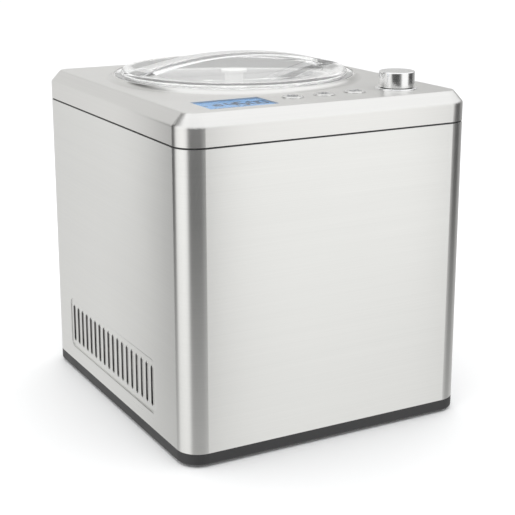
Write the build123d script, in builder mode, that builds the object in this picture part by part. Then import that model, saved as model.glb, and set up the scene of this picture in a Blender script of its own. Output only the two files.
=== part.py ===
from build123d import *
import os
from math import acos, asin, atan2, cos, degrees, pi, radians, sin, sqrt, tan

# Counter-top ice cream maker with its own compressor, as an assembly of separate pieces.
# Millimetres. Origin: centre of the footprint, on the surface that the machine stands on.
# +Z up, front towards -Y, the long row of side vents on both the -X and the +X side.

# ---- driving dimensions ---------------------------------------------------------------------
WIDTH = 280.0
DEPTH = 314.0
CORNER_R = 20.0
SHEET = 1.0
FIT = 0.05             # clearance per side of a fit inside one body
GAP = 0.3              # clearance per side between pieces that move past each other

FOOT_H = 1.5
BASE_TOP = 12.4        # joint between the plastic base and the steel casing
BASE_FLOOR = 7.0       # inner floor of the base tray
SEAM_Z = 270.4         # top edge of the steel casing
SEAM_GAP = 1.5
CAP_Z = SEAM_Z + SEAM_GAP
SHOULDER_Z = 288.1     # top of the cap's vertical skirt
DECK_Z = 298.1
CAP_INSET = 8.7
CAP_WALL = 2.0
DECK_UNDER = DECK_Z - CAP_WALL

AXIS_Y = 24.6          # the bowl, the paddle and the drive shaft share this vertical axis
COLLAR_BASE_R = 120.5
COLLAR_TOP_R = 114.6
COLLAR_BORE_R = 113.0
COLLAR_RISE = 4.0

SHAFT_R = 5.0
WELL_R = 91.5          # inner radius of the chilled well
WELL_WALL = 1.5
WELL_FLOOR = 170.0     # its inner floor
WELL_TOP = 286.6
BOWL_R = 90.7          # outer radius of the removable bowl
BOWL_WALL = 1.5
BOWL_BASE = 172.0
BOWL_RIM = 288.6
BOWL_LIP_R = 94.0
SEAL_TOP = 291.5

LID_TOP = DECK_Z + 8.0
LID_R = 106.0
LID_FLANGE_R = 111.8
LID_WINDOW_R = 83.0
HANDLE_TOP = DECK_Z + 22.0
HANDLE_HALF_SPAN = 105.0
HANDLE_HALF_WIDTH = 16.0
HANDLE_WALL = 2.4
LUG_COUNT = 3
LUG_HALF_ANGLE = 12.0
NOTCH_HALF_ANGLE = 14.0

GEAR_FLOOR = 124.0     # underside of the gearbox housing
GEAR_TOP = 150.0
MODULE = 1.25
PINION_TEETH = 12
WHEEL_TEETH = 48
OUTPUT_TEETH = 60
IDLER_Y = AXIS_Y - MODULE * (OUTPUT_TEETH + PINION_TEETH) / 2
MOTOR_Y = IDLER_Y - MODULE * (WHEEL_TEETH + PINION_TEETH) / 2

BUTTON_Y = -114.0
BUTTON_X = {"timer": -16.5, "mode": 14.5, "start": 45.5}
BUTTON_R = 9.35
BUTTON_TRAVEL = 0.8
KNOB_XY = (90.0, -113.0)
KNOB_R = 15.85
KNOB_H = 13.8
LCD_XY = (-73.5, -117.0)
LCD_SIZE = (63.0, 39.0)
BOARD_Z = 284.0
BOARD_T = 1.6

VENT_COUNT = 18
VENT_PITCH = 11.05
VENT_WIDTH = 5.0
VENT_HEIGHT = 37.5
VENT_Y = 7.9           # centre of the row
VENT_Z = 51.6
VENT_FRAME = (204.0, 50.0)
VENT_FRAME_R = 7.0
VENT_RECESS = 0.8

COMPRESSOR_XY = (76.0, 86.0)
COMPRESSOR_R = 54.0
FAN_X = -99.0          # side of the fan frame that faces the condenser
FAN_YZ = (8.0, 76.0)
FAN_R = 48.5
CONDENSER_X = (-133.0, -103.0)
CONDENSER_Y = (-80.0, 96.0)
CONDENSER_Z = (27.0, 127.0)
POST_Z = (BASE_FLOOR, 262.0)
POST_XY = [(-112.0, -140.0), (112.0, -140.0), (-104.0, 147.0), (104.0, 147.0)]
REAR_FACE_Y = DEPTH / 2 - SHEET - 0.1
REAR_HALF_W = 110.0    # half the opening in the casing's back
REAR_PANEL_HALF_W = 119.0

os.makedirs("parts", exist_ok=True)


def save(builder, node):
    """Label one finished sub-part and write it as its own node."""
    builder.part.label = node
    export_step(builder.part, f"parts/{node}.step")


def slab(z_low, z_high, inset=0.0, mode=Mode.ADD):
    """The casing's rounded outline, drawn in by inset, between two heights."""
    with BuildSketch(Plane.XY.offset(z_low)) as outline:
        RectangleRounded(WIDTH - 2 * inset, DEPTH - 2 * inset, max(CORNER_R - inset, 1.0))
    extrude(outline.sketch, amount=z_high - z_low, mode=mode)


def disc(centre, z_low, z_high, radius, bore=0.0, mode=Mode.ADD):
    """A vertical cylinder, or a ring when bore is given."""
    with BuildSketch(Plane.XY.offset(z_low)) as outline:
        with Locations(centre):
            Circle(radius)
            if bore:
                Circle(bore, mode=Mode.SUBTRACT)
    extrude(outline.sketch, amount=z_high - z_low, mode=mode)


def block(x_span, y_span, z_span, mode=Mode.ADD):
    """A box given by its low and high limits."""
    with BuildSketch(Plane.XY.offset(z_span[0])) as outline:
        with Locations(((x_span[0] + x_span[1]) / 2, (y_span[0] + y_span[1]) / 2)):
            Rectangle(x_span[1] - x_span[0], y_span[1] - y_span[0])
    extrude(outline.sketch, amount=z_span[1] - z_span[0], mode=mode)


def spun(points, mode=Mode.ADD):
    """A closed (radius, height) outline turned round the bowl's axis."""
    with BuildSketch(Plane.XZ.offset(-AXIS_Y)) as outline:
        with BuildLine():
            Polyline(*points, close=True)
        make_face()
    revolve(outline.sketch, axis=Axis((0, AXIS_Y, 0), (0, 0, 1)), mode=mode)


def sector(z_low, z_high, r_in, r_out, middle, half_angle, mode=Mode.ADD):
    """A curved block round the bowl's axis, centred on the angle middle (degrees)."""
    def at(radius, angle):
        return (radius * cos(radians(angle)), AXIS_Y + radius * sin(radians(angle)))
    low, high = middle - half_angle, middle + half_angle
    with BuildSketch(Plane.XY.offset(z_low)) as outline:
        with BuildLine():
            ThreePointArc(at(r_out, low), at(r_out, middle), at(r_out, high))
            Line(at(r_out, high), at(r_in, high))
            ThreePointArc(at(r_in, high), at(r_in, middle), at(r_in, low))
            Line(at(r_in, low), at(r_out, low))
        make_face()
    extrude(outline.sketch, amount=z_high - z_low, mode=mode)


def gear_points(centre, teeth, turned, backlash=0.32):
    """Outline of an involute spur gear about centre, with four points on each flank of each tooth."""
    pressure = radians(20)
    pitch_r = MODULE * teeth / 2
    base_r = pitch_r * cos(pressure)
    half_tooth = (pi * MODULE / 2 - backlash) / (2 * pitch_r)

    def flank(radius):
        angle = acos(min(1.0, base_r / radius))
        return half_tooth + (tan(pressure) - pressure) - (tan(angle) - angle)

    radii = [pitch_r - 1.25 * MODULE, pitch_r - 0.4 * MODULE, pitch_r + 0.2 * MODULE, pitch_r + 0.85 * MODULE]
    points = []
    for tooth in range(teeth):
        middle = turned + 2 * pi * tooth / teeth
        left = [(r, middle - flank(r)) for r in radii]
        right = [(r, middle + flank(r)) for r in reversed(radii)]
        points += [(centre[0] + r * cos(turn), centre[1] + r * sin(turn)) for r, turn in left + right]
    return points


def gear(centre, z_low, z_high, teeth, turned):
    """A spur gear blank with teeth, standing on z_low. turned is one tooth's direction in radians."""
    with BuildSketch(Plane.XY.offset(z_low)) as outline:
        with BuildLine():
            Polyline(*gear_points(centre, teeth, turned), close=True)
        make_face()
    extrude(outline.sketch, amount=z_high - z_low)


def screw(head_plane, head_r, head_h, shank_r, length):
    """A pan-head screw: the head stands on head_plane, the shank goes the other way."""
    with BuildSketch(head_plane) as outline:
        Circle(head_r)
    extrude(outline.sketch, amount=head_h)
    with BuildSketch(head_plane) as outline:
        Circle(shank_r)
    extrude(outline.sketch, amount=-length)
    slot = head_plane.offset(head_h)
    with BuildSketch(slot) as outline:
        Rectangle(head_r * 1.2, head_r * 0.25)
        Rectangle(head_r * 0.25, head_r * 1.2)
    extrude(outline.sketch, amount=-head_h * 0.5, mode=Mode.SUBTRACT)


def tube(points, radius, bends):
    """A round pipe through points with rounded bends."""
    with BuildLine() as route:
        FilletPolyline(*points, radius=bends)
    start = route.line @ 0
    with BuildSketch(Plane(origin=start, z_dir=route.line % 0)) as outline:
        Circle(radius)
    sweep(outline.sketch, path=route.line)


# ---- base -----------------------------------------------------------------------------------
TRAY_WALL = 2.1
TRAY_LIP_TOP = 24.0
FOOT_XY = [(-92.0, -128.0), (88.0, -128.0), (-92.0, 128.0), (88.0, 128.0)]
FOOT_R = 14.0
PLUG_R = 4.0
SCREW_SEAT_Z = FOOT_H + 2.4    # the screws from below stand in counterbores

with BuildPart() as base_tray:
    slab(FOOT_H, BASE_TOP)
    fillet(base_tray.faces().sort_by(Axis.Z)[0].edges(), 2.5)
    slab(BASE_TOP, TRAY_LIP_TOP, inset=SHEET + 0.1)
    slab(BASE_FLOOR, TRAY_LIP_TOP, inset=SHEET + TRAY_WALL, mode=Mode.SUBTRACT)
    for spot in FOOT_XY:
        disc(spot, FOOT_H, BASE_FLOOR, PLUG_R + FIT, mode=Mode.SUBTRACT)
    for spot in POST_XY:
        disc(spot, FOOT_H, BASE_FLOOR, 2.0, mode=Mode.SUBTRACT)
        disc(spot, FOOT_H, SCREW_SEAT_Z, 4.1, mode=Mode.SUBTRACT)
    # intake slots in the floor under the condenser and the fan
    with BuildSketch(Plane.XY.offset(FOOT_H)):
        with Locations((-85.0, 8.0)):
            with GridLocations(0, 12.0, 1, 9):
                SlotOverall(60.0, 4.0)
    extrude(amount=BASE_FLOOR - FOOT_H, mode=Mode.SUBTRACT)
save(base_tray, "base_tray")

with BuildPart() as rubber_feet:
    for spot in FOOT_XY:
        disc(spot, 0, FOOT_H, FOOT_R)
    chamfer(rubber_feet.faces().filter_by(Plane.XY).group_by(Axis.Z)[0].edges(), 1.0)
    for spot in FOOT_XY:
        disc(spot, FOOT_H, BASE_FLOOR, PLUG_R)
        disc(spot, BASE_FLOOR, BASE_FLOOR + 2.0, PLUG_R + 1.5)
save(rubber_feet, "rubber_feet")

# ---- steel casing ---------------------------------------------------------------------------
with BuildPart() as steel_casing:
    slab(BASE_TOP, SEAM_Z)
    slab(BASE_TOP, SEAM_Z, inset=SHEET, mode=Mode.SUBTRACT)
    block((-REAR_HALF_W, REAR_HALF_W), (DEPTH / 2 - 3, DEPTH / 2 + 1), (BASE_TOP, SEAM_Z), mode=Mode.SUBTRACT)
    for side in (-1, 1):
        outer = Plane(origin=(side * WIDTH / 2, VENT_Y, VENT_Z), x_dir=(0, 1, 0), z_dir=(side, 0, 0))
        with BuildSketch(outer.offset(-SHEET)):
            RectangleRounded(VENT_FRAME[0] + 2 * SHEET, VENT_FRAME[1] + 2 * SHEET, VENT_FRAME_R + SHEET)
        extrude(amount=-VENT_RECESS)
        with BuildSketch(outer):
            RectangleRounded(VENT_FRAME[0], VENT_FRAME[1], VENT_FRAME_R)
        extrude(amount=-VENT_RECESS, mode=Mode.SUBTRACT)
        with BuildSketch(outer):
            with GridLocations(VENT_PITCH, 0, VENT_COUNT, 1):
                SlotOverall(VENT_HEIGHT, VENT_WIDTH, rotation=90)
        extrude(amount=-4, mode=Mode.SUBTRACT)
save(steel_casing, "steel_casing")

# ---- rear panel with outlet louvres and the power inlet cut-out -----------------------------
REAR_T = 2.0
INLET_XZ = (-66.0, 52.0)
INLET_BODY = (27.0, 20.0)
REAR_SCREWS = [(x, z) for x in (-104.0, 104.0) for z in (45.0, 141.0, 237.0)]

rear_plane = Plane(origin=(0, REAR_FACE_Y, 0), x_dir=(-1, 0, 0), z_dir=(0, 1, 0))
with BuildPart() as rear_panel:
    block((-REAR_PANEL_HALF_W, REAR_PANEL_HALF_W), (REAR_FACE_Y - REAR_T, REAR_FACE_Y),
          (TRAY_LIP_TOP + 0.5, SEAM_Z - 0.2))
    with BuildSketch(rear_plane):
        with Locations((-10, 92)):
            with GridLocations(0, 11.0, 1, 10):
                SlotOverall(110.0, 4.5)
        with Locations((-INLET_XZ[0], INLET_XZ[1])):
            Rectangle(INLET_BODY[0] + 2 * FIT, INLET_BODY[1] + 2 * FIT)
        for x, z in REAR_SCREWS:
            with Locations((-x, z)):
                Circle(2.0)
    extrude(amount=-REAR_T, mode=Mode.SUBTRACT)
save(rear_panel, "rear_panel")

# ---- uprights and the upper frame that carries the cap and the well -------------------------
with BuildPart() as corner_posts:
    for x, y in POST_XY:
        block((x - 6, x + 6), (y - 6.8, y + 6.8), POST_Z)
        disc((x, y), POST_Z[1] - 14, POST_Z[1], 1.9, mode=Mode.SUBTRACT)
    for x, z in REAR_SCREWS:
        with BuildSketch(Plane(origin=(x, REAR_FACE_Y - REAR_T, z), x_dir=(-1, 0, 0), z_dir=(0, 1, 0))):
            Circle(1.95)
        extrude(amount=-8, mode=Mode.SUBTRACT)
    for x, y in POST_XY:
        disc((x, y), POST_Z[0], POST_Z[0] + 12, 1.95, mode=Mode.SUBTRACT)
save(corner_posts, "corner_posts")

FRAME_WEB = (262.0, 265.0)
with BuildPart() as upper_frame:
    slab(FRAME_WEB[0], SEAM_Z, inset=SHEET + 0.1)
    slab(SEAM_Z, CAP_Z, inset=0.85)
    slab(FRAME_WEB[1], CAP_Z, inset=SHEET + 3.0, mode=Mode.SUBTRACT)
    disc((0, AXIS_Y), FRAME_WEB[0], FRAME_WEB[1], 117.0, mode=Mode.SUBTRACT)
    block((-90, 90), (-136, -106), FRAME_WEB, mode=Mode.SUBTRACT)
    block((-REAR_PANEL_HALF_W - 0.2, REAR_PANEL_HALF_W + 0.2),
          (REAR_FACE_Y - REAR_T - 0.1, REAR_FACE_Y + 0.1), (FRAME_WEB[0], SEAM_Z), mode=Mode.SUBTRACT)
    for x, y in POST_XY:
        disc((x, y), FRAME_WEB[0], FRAME_WEB[1], 2.1, mode=Mode.SUBTRACT)
save(upper_frame, "upper_frame")

# ---- top cover ------------------------------------------------------------------------------
CHAMFER_ANGLE = degrees(atan2(CAP_INSET, DECK_Z - SHOULDER_Z))
WALL_DROP = 1.1        # how much lower the inner shoulder lies for an even wall
with BuildPart() as top_cover:
    slab(CAP_Z, SHOULDER_Z)
    with BuildSketch(Plane.XY.offset(SHOULDER_Z)):
        RectangleRounded(WIDTH, DEPTH, CORNER_R)
    extrude(amount=DECK_Z - SHOULDER_Z, taper=CHAMFER_ANGLE)
    fillet(top_cover.edges().filter_by_position(Axis.Z, DECK_Z - 0.1, DECK_Z + 0.1), 2.0)
    fillet(top_cover.edges().filter_by_position(Axis.Z, SHOULDER_Z - 0.1, SHOULDER_Z + 0.1), 3.5)
    slab(CAP_Z, SHOULDER_Z - WALL_DROP, inset=CAP_WALL, mode=Mode.SUBTRACT)
    with BuildSketch(Plane.XY.offset(SHOULDER_Z - WALL_DROP)):
        RectangleRounded(WIDTH - 2 * CAP_WALL, DEPTH - 2 * CAP_WALL, CORNER_R - CAP_WALL)
    extrude(amount=DECK_UNDER - SHOULDER_Z + WALL_DROP, taper=CHAMFER_ANGLE, mode=Mode.SUBTRACT)
    # raised collar with a flared foot
    with BuildSketch(Plane.XZ.offset(-AXIS_Y)):
        with BuildLine():
            foot = (COLLAR_BASE_R, DECK_Z)
            brow = (COLLAR_TOP_R, DECK_Z + COLLAR_RISE)
            ThreePointArc(foot, (COLLAR_TOP_R + 1.6, DECK_Z + 1.5), brow)
            Polyline(brow, (COLLAR_BORE_R - 1, DECK_Z + COLLAR_RISE), (COLLAR_BORE_R - 1, DECK_UNDER),
                     (COLLAR_BASE_R, DECK_UNDER), foot)
        make_face()
    revolve(axis=Axis((0, AXIS_Y, 0), (0, 0, 1)))
    disc((0, AXIS_Y), DECK_UNDER - 1, DECK_Z + COLLAR_RISE + 1, COLLAR_BORE_R, mode=Mode.SUBTRACT)
    with BuildSketch(Plane.XY.offset(DECK_UNDER)):
        with Locations(LCD_XY):
            Rectangle(*LCD_SIZE)
        for x in BUTTON_X.values():
            with Locations((x, BUTTON_Y)):
                Circle(BUTTON_R + GAP)
        with Locations(KNOB_XY):
            Circle(4.2)
    extrude(amount=CAP_WALL, mode=Mode.SUBTRACT)
save(top_cover, "top_cover")

# ---- lid seat: black ring inside the collar, with bayonet notches ---------------------------
SEAT_TOP = DECK_Z + 1.0
SEAT_LIP = DECK_Z - 3.9
with BuildPart() as lid_seat:
    rim_r = COLLAR_BORE_R - 0.1
    spun([(102.3, WELL_TOP), (110.5, WELL_TOP), (110.5, DECK_UNDER - 0.1), (rim_r, DECK_UNDER - 0.1),
          (rim_r, SEAT_TOP), (99.6, SEAT_TOP), (99.6, SEAT_LIP), (102.3, SEAT_LIP)])
    for turn in range(LUG_COUNT):
        middle = 90 + 360 / LUG_COUNT * turn
        sector(SEAT_LIP, SEAT_TOP, 98.0, 102.3, middle, NOTCH_HALF_ANGLE, mode=Mode.SUBTRACT)
save(lid_seat, "lid_seat")

# ---- clear lid with its arched strap handle -------------------------------------------------
SKIRT_R = (92.4, 95.0)
WINDOW_T = 2.2
LUG_Z = (SEAL_TOP + 0.2, SEAT_LIP - 0.2)
with BuildPart() as lid_shell:
    flange = (DECK_Z + 1.5, DECK_Z + 4.0)
    spun([(0, LID_TOP - WINDOW_T), (LID_R - 2.4, LID_TOP - WINDOW_T), (LID_R - 2.4, flange[1]),
          (SKIRT_R[0], flange[1]), (SKIRT_R[0], LUG_Z[0]), (SKIRT_R[1], LUG_Z[0]), (SKIRT_R[1], flange[0]),
          (LID_FLANGE_R, flange[0]), (LID_FLANGE_R, flange[1]), (LID_R, flange[1]), (LID_R, LID_TOP),
          (LID_WINDOW_R, LID_TOP), (LID_WINDOW_R - 1.0, LID_TOP - 0.7), (0, LID_TOP - 0.7)])
    for turn in range(LUG_COUNT):
        sector(LUG_Z[0], LUG_Z[1], SKIRT_R[1] - 0.5, 101.7, 90 + 360 / LUG_COUNT * turn, LUG_HALF_ANGLE)
    with BuildSketch(Plane.XZ.offset(-AXIS_Y)):
        with BuildLine():
            ThreePointArc((-HANDLE_HALF_SPAN, LID_TOP), (0, HANDLE_TOP), (HANDLE_HALF_SPAN, LID_TOP))
            Line((HANDLE_HALF_SPAN, LID_TOP), (HANDLE_HALF_SPAN, LID_TOP - 0.5))
            Line((HANDLE_HALF_SPAN, LID_TOP - 0.5), (HANDLE_HALF_SPAN - 17.0, LID_TOP - 0.5))
            ThreePointArc((HANDLE_HALF_SPAN - 17.0, LID_TOP - 0.5), (0, HANDLE_TOP - HANDLE_WALL),
                          (17.0 - HANDLE_HALF_SPAN, LID_TOP - 0.5))
            Line((17.0 - HANDLE_HALF_SPAN, LID_TOP - 0.5), (-HANDLE_HALF_SPAN, LID_TOP - 0.5))
            Line((-HANDLE_HALF_SPAN, LID_TOP - 0.5), (-HANDLE_HALF_SPAN, LID_TOP))
        make_face()
    extrude(amount=HANDLE_HALF_WIDTH, both=True)
save(lid_shell, "lid_shell")

with BuildPart() as lid_seal:
    spun([(90.4, BOWL_RIM + 0.1), (96.4, BOWL_RIM + 0.1), (96.4, SEAL_TOP - 1.2), (94.6, SEAL_TOP),
          (92.2, SEAL_TOP), (90.4, SEAL_TOP - 1.2)])
save(lid_seal, "lid_seal")

# ---- removable bowl -------------------------------------------------------------------------
TUBE_R = (7.0, 9.5)
TUBE_TOP = 226.0
BOWL_ROUND = 9.0
with BuildPart() as mixing_bowl:
    with BuildSketch(Plane.XZ.offset(-AXIS_Y)):
        with BuildLine():
            inner = BOWL_R - BOWL_WALL
            round_r = BOWL_R - BOWL_ROUND
            floor_in = BOWL_BASE + BOWL_WALL
            Polyline((TUBE_R[0], BOWL_BASE), (round_r, BOWL_BASE))
            RadiusArc((round_r, BOWL_BASE), (BOWL_R, BOWL_BASE + BOWL_ROUND), -BOWL_ROUND)
            Polyline((BOWL_R, BOWL_BASE + BOWL_ROUND), (BOWL_R, BOWL_RIM - 1.5), (BOWL_LIP_R, BOWL_RIM - 1.5),
                     (BOWL_LIP_R, BOWL_RIM), (inner, BOWL_RIM), (inner, BOWL_BASE + BOWL_ROUND))
            RadiusArc((inner, BOWL_BASE + BOWL_ROUND), (round_r, floor_in), BOWL_ROUND - BOWL_WALL)
            Polyline((round_r, floor_in), (TUBE_R[1] + 2, floor_in), (TUBE_R[1], floor_in + 3),
                     (TUBE_R[1], TUBE_TOP), (TUBE_R[0], TUBE_TOP), (TUBE_R[0], BOWL_BASE))
        make_face()
    revolve(axis=Axis((0, AXIS_Y, 0), (0, 0, 1)))
save(mixing_bowl, "mixing_bowl")

# ---- paddle ---------------------------------------------------------------------------------
HUB_TOP = DECK_Z + 5.2
HUB_SHOULDER = 229.0
SHAFT_TOP = 257.0
FLAT_AT = 3.6          # distance of the shaft's drive flat from its axis
ARM_R = 85.5
with BuildPart() as mixing_paddle:
    spun([(10.4, BOWL_BASE + 7), (13.0, BOWL_BASE + 7), (13.0, HUB_SHOULDER + 1), (9.0, HUB_SHOULDER + 7),
          (9.0, HUB_TOP - 5.5), (12.5, HUB_TOP - 4.5), (12.5, HUB_TOP - 0.8), (11.7, HUB_TOP), (0, HUB_TOP),
          (0, SHAFT_TOP + 1.5), (SHAFT_R + 0.08, SHAFT_TOP + 1.5), (SHAFT_R + 0.08, HUB_SHOULDER),
          (10.4, HUB_SHOULDER)])
    block((FLAT_AT + 0.1, 8), (AXIS_Y - 6, AXIS_Y + 6), (HUB_SHOULDER + 3, SHAFT_TOP + 2))
    for side in (-1, 1):
        block(sorted((side * 8.0, side * (ARM_R - 2))), (AXIS_Y - 3.0, AXIS_Y + 3.0), (262.0, 270.0))
        block(sorted((side * 11.5, side * (ARM_R - 12))), (AXIS_Y - 3.0, AXIS_Y + 3.0),
              (BOWL_BASE + 8, BOWL_BASE + 17))
        block(sorted((side * (ARM_R - 5), side * ARM_R)), (AXIS_Y - 9, AXIS_Y + 9), (BOWL_BASE + 12, 274.0))
        block(sorted((side * (ARM_R - 15), side * (ARM_R - 4))), (AXIS_Y - 7, AXIS_Y + 7),
              (BOWL_BASE + 5, BOWL_BASE + 21))
        block(sorted((side * 42.0, side * 48.0)), (AXIS_Y - 3.0, AXIS_Y + 3.0), (BOWL_BASE + 10, 266.0))
save(mixing_paddle, "mixing_paddle")

# ---- chilled well, its cooling coil and its insulation --------------------------------------
COIL_TUBE_R = 4.0
COIL_R = WELL_R + WELL_WALL + COIL_TUBE_R + 0.1
COIL_TURNS = 7
COIL_PITCH = 13.0
COIL_Z = 178.0
SEAL_BORE_R = 8.0
with BuildPart() as chiller_well:
    spun([(SEAL_BORE_R, WELL_FLOOR - WELL_WALL), (WELL_R + WELL_WALL, WELL_FLOOR - WELL_WALL),
          (WELL_R + WELL_WALL, WELL_TOP - WELL_WALL), (108.0, WELL_TOP - WELL_WALL), (108.0, WELL_TOP),
          (WELL_R, WELL_TOP), (WELL_R, WELL_FLOOR), (SEAL_BORE_R, WELL_FLOOR)])
save(chiller_well, "chiller_well")

with BuildPart() as evaporator_coil:
    for turn in range(COIL_TURNS):
        with BuildSketch(Plane.XZ.offset(-AXIS_Y)):
            with Locations((COIL_R, COIL_Z + turn * COIL_PITCH)):
                Circle(COIL_TUBE_R)
        revolve(axis=Axis((0, AXIS_Y, 0), (0, 0, 1)))
    disc((COIL_R, AXIS_Y), COIL_Z, COIL_Z + (COIL_TURNS - 1) * COIL_PITCH, COIL_TUBE_R)
save(evaporator_coil, "evaporator_coil")

FOAM_R = 116.0
FOAM_Z = (158.0, 276.0)
FOAM_BORE_R = COIL_R + COIL_TUBE_R + 0.2
NECK_R = 12.0
FOAM_PIPE_XY = (60.0, AXIS_Y + sqrt(COIL_R ** 2 - 60.0 ** 2))
FOAM_CAPILLARY_XY = (-60.0, FOAM_PIPE_XY[1])
with BuildPart() as foam_insulation:
    disc((0, AXIS_Y), FOAM_Z[0], FOAM_Z[1], FOAM_R)
    disc((0, AXIS_Y), WELL_FLOOR - WELL_WALL, FOAM_Z[1], FOAM_BORE_R, mode=Mode.SUBTRACT)
    disc((0, AXIS_Y), FOAM_Z[0], WELL_FLOOR, NECK_R + 0.3, mode=Mode.SUBTRACT)
    disc(FOAM_PIPE_XY, FOAM_Z[0], WELL_FLOOR, 4.6, mode=Mode.SUBTRACT)
    disc(FOAM_CAPILLARY_XY, FOAM_Z[0], WELL_FLOOR, 2.1, mode=Mode.SUBTRACT)
save(foam_insulation, "foam_insulation")

# ---- gearbox --------------------------------------------------------------------------------
HOUSING_WALL = 3.0
HOUSING_R = 43.0
HOUSING_HALF_W = 36.0
HOUSING_FRONT = MOTOR_Y - 14.0
BUSH_R = 8.0
IDLER_AXLE_R = 3.0


def housing_outline(inset=0.0):
    """Plan of the gearbox: round about the output shaft, straight-sided over the other wheels."""
    with Locations((0, AXIS_Y)):
        Circle(HOUSING_R - inset)
    with Locations((0, (HOUSING_FRONT + AXIS_Y) / 2)):
        Rectangle(2 * (HOUSING_HALF_W - inset), AXIS_Y - HOUSING_FRONT - 2 * inset)


GEAR_SCREWS = [(x, y) for x in (-HOUSING_HALF_W + 5.0, HOUSING_HALF_W - 5.0) for y in (HOUSING_FRONT + 5.0,)]
GEAR_SCREWS.append((0, AXIS_Y + HOUSING_R + 3.0))
with BuildPart() as gearbox_housing:
    with BuildSketch(Plane.XY.offset(GEAR_FLOOR)):
        housing_outline()
        with Locations((0, AXIS_Y + HOUSING_R + 3.0)):
            Circle(6.0)
    extrude(amount=GEAR_TOP - GEAR_FLOOR)
    with BuildSketch(Plane.XY.offset(GEAR_FLOOR + HOUSING_WALL)):
        housing_outline(inset=HOUSING_WALL)
    extrude(amount=GEAR_TOP - GEAR_FLOOR, mode=Mode.SUBTRACT)
    for x, y in GEAR_SCREWS[:2]:
        disc((x, y), GEAR_FLOOR, GEAR_TOP, 5.0)
    disc((0, AXIS_Y), GEAR_FLOOR - 6, GEAR_FLOOR + 2, BUSH_R + 3)
    disc((0, AXIS_Y), GEAR_FLOOR - 6, GEAR_FLOOR + HOUSING_WALL, BUSH_R + FIT, mode=Mode.SUBTRACT)
    disc((0, IDLER_Y), GEAR_FLOOR, GEAR_FLOOR + HOUSING_WALL, IDLER_AXLE_R + FIT, mode=Mode.SUBTRACT)
    disc((0, MOTOR_Y), GEAR_FLOOR, GEAR_FLOOR + HOUSING_WALL, 5.0, mode=Mode.SUBTRACT)
    for spot in GEAR_SCREWS:
        disc(spot, GEAR_TOP - 14, GEAR_TOP, 1.65, mode=Mode.SUBTRACT)
save(gearbox_housing, "gearbox_housing")

COVER_T = 3.0
NECK_TOP = WELL_FLOOR - WELL_WALL
with BuildPart() as gearbox_cover:
    with BuildSketch(Plane.XY.offset(GEAR_TOP)):
        housing_outline()
        with Locations((0, AXIS_Y + HOUSING_R + 3.0)):
            Circle(6.0)
    extrude(amount=COVER_T)
    disc((0, AXIS_Y), GEAR_TOP, NECK_TOP, NECK_R)
    disc((0, AXIS_Y), GEAR_TOP, NECK_TOP, BUSH_R + FIT, mode=Mode.SUBTRACT)
    disc((0, IDLER_Y), GEAR_TOP, GEAR_TOP + COVER_T, IDLER_AXLE_R + FIT, mode=Mode.SUBTRACT)
    for spot in GEAR_SCREWS:
        disc(spot, GEAR_TOP, GEAR_TOP + COVER_T, 1.8, mode=Mode.SUBTRACT)
save(gearbox_cover, "gearbox_cover")

with BuildPart() as shaft_bushes:
    disc((0, AXIS_Y), GEAR_FLOOR - 6, GEAR_FLOOR + HOUSING_WALL, BUSH_R, bore=SHAFT_R + FIT)
    disc((0, AXIS_Y), GEAR_TOP, NECK_TOP - 6, BUSH_R, bore=SHAFT_R + FIT)
save(shaft_bushes, "shaft_bushes")

with BuildPart() as shaft_seal:
    disc((0, AXIS_Y), NECK_TOP - 5, WELL_FLOOR, BUSH_R - FIT, bore=SHAFT_R + FIT)
    disc((0, AXIS_Y), WELL_FLOOR, WELL_FLOOR + 1.0, BUSH_R + 2.4, bore=SHAFT_R + FIT)
save(shaft_seal, "shaft_seal")

with BuildPart() as drive_shaft:
    disc((0, AXIS_Y), GEAR_FLOOR - 6, SHAFT_TOP, SHAFT_R)
    chamfer(drive_shaft.faces().sort_by(Axis.Z)[-1].edges(), 0.8)
    block((FLAT_AT, 8), (AXIS_Y - 6, AXIS_Y + 6), (HUB_SHOULDER + 2, SHAFT_TOP + 1), mode=Mode.SUBTRACT)
save(drive_shaft, "drive_shaft")

# Wheels mesh along -Y: each pair has a tooth of one in a gap of the other on the line of centres.
DOWN = -pi / 2
UP = pi / 2
with BuildPart() as output_gear:
    gear((0, AXIS_Y), 138.0, 144.5, OUTPUT_TEETH, DOWN)
    disc((0, AXIS_Y), 134.5, 148.0, 9.0)
    disc((0, AXIS_Y), 134.5, 148.0, SHAFT_R, mode=Mode.SUBTRACT)
    with BuildSketch(Plane.XY.offset(138.0)):
        with Locations((0, AXIS_Y)):
            with PolarLocations(21.0, 6):
                Circle(6.0)
    extrude(amount=7, mode=Mode.SUBTRACT)
save(output_gear, "output_gear")

with BuildPart() as idler_gear:
    gear((0, IDLER_Y), 129.0, 136.0, WHEEL_TEETH, DOWN)
    gear((0, IDLER_Y), 136.0, 146.5, PINION_TEETH, UP + pi / PINION_TEETH)
    disc((0, IDLER_Y), 129.0, 147.0, IDLER_AXLE_R + 0.06, mode=Mode.SUBTRACT)
save(idler_gear, "idler_gear")

with BuildPart() as idler_axle:
    disc((0, IDLER_Y), GEAR_FLOOR, GEAR_TOP + COVER_T, IDLER_AXLE_R)
save(idler_axle, "idler_axle")

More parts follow.
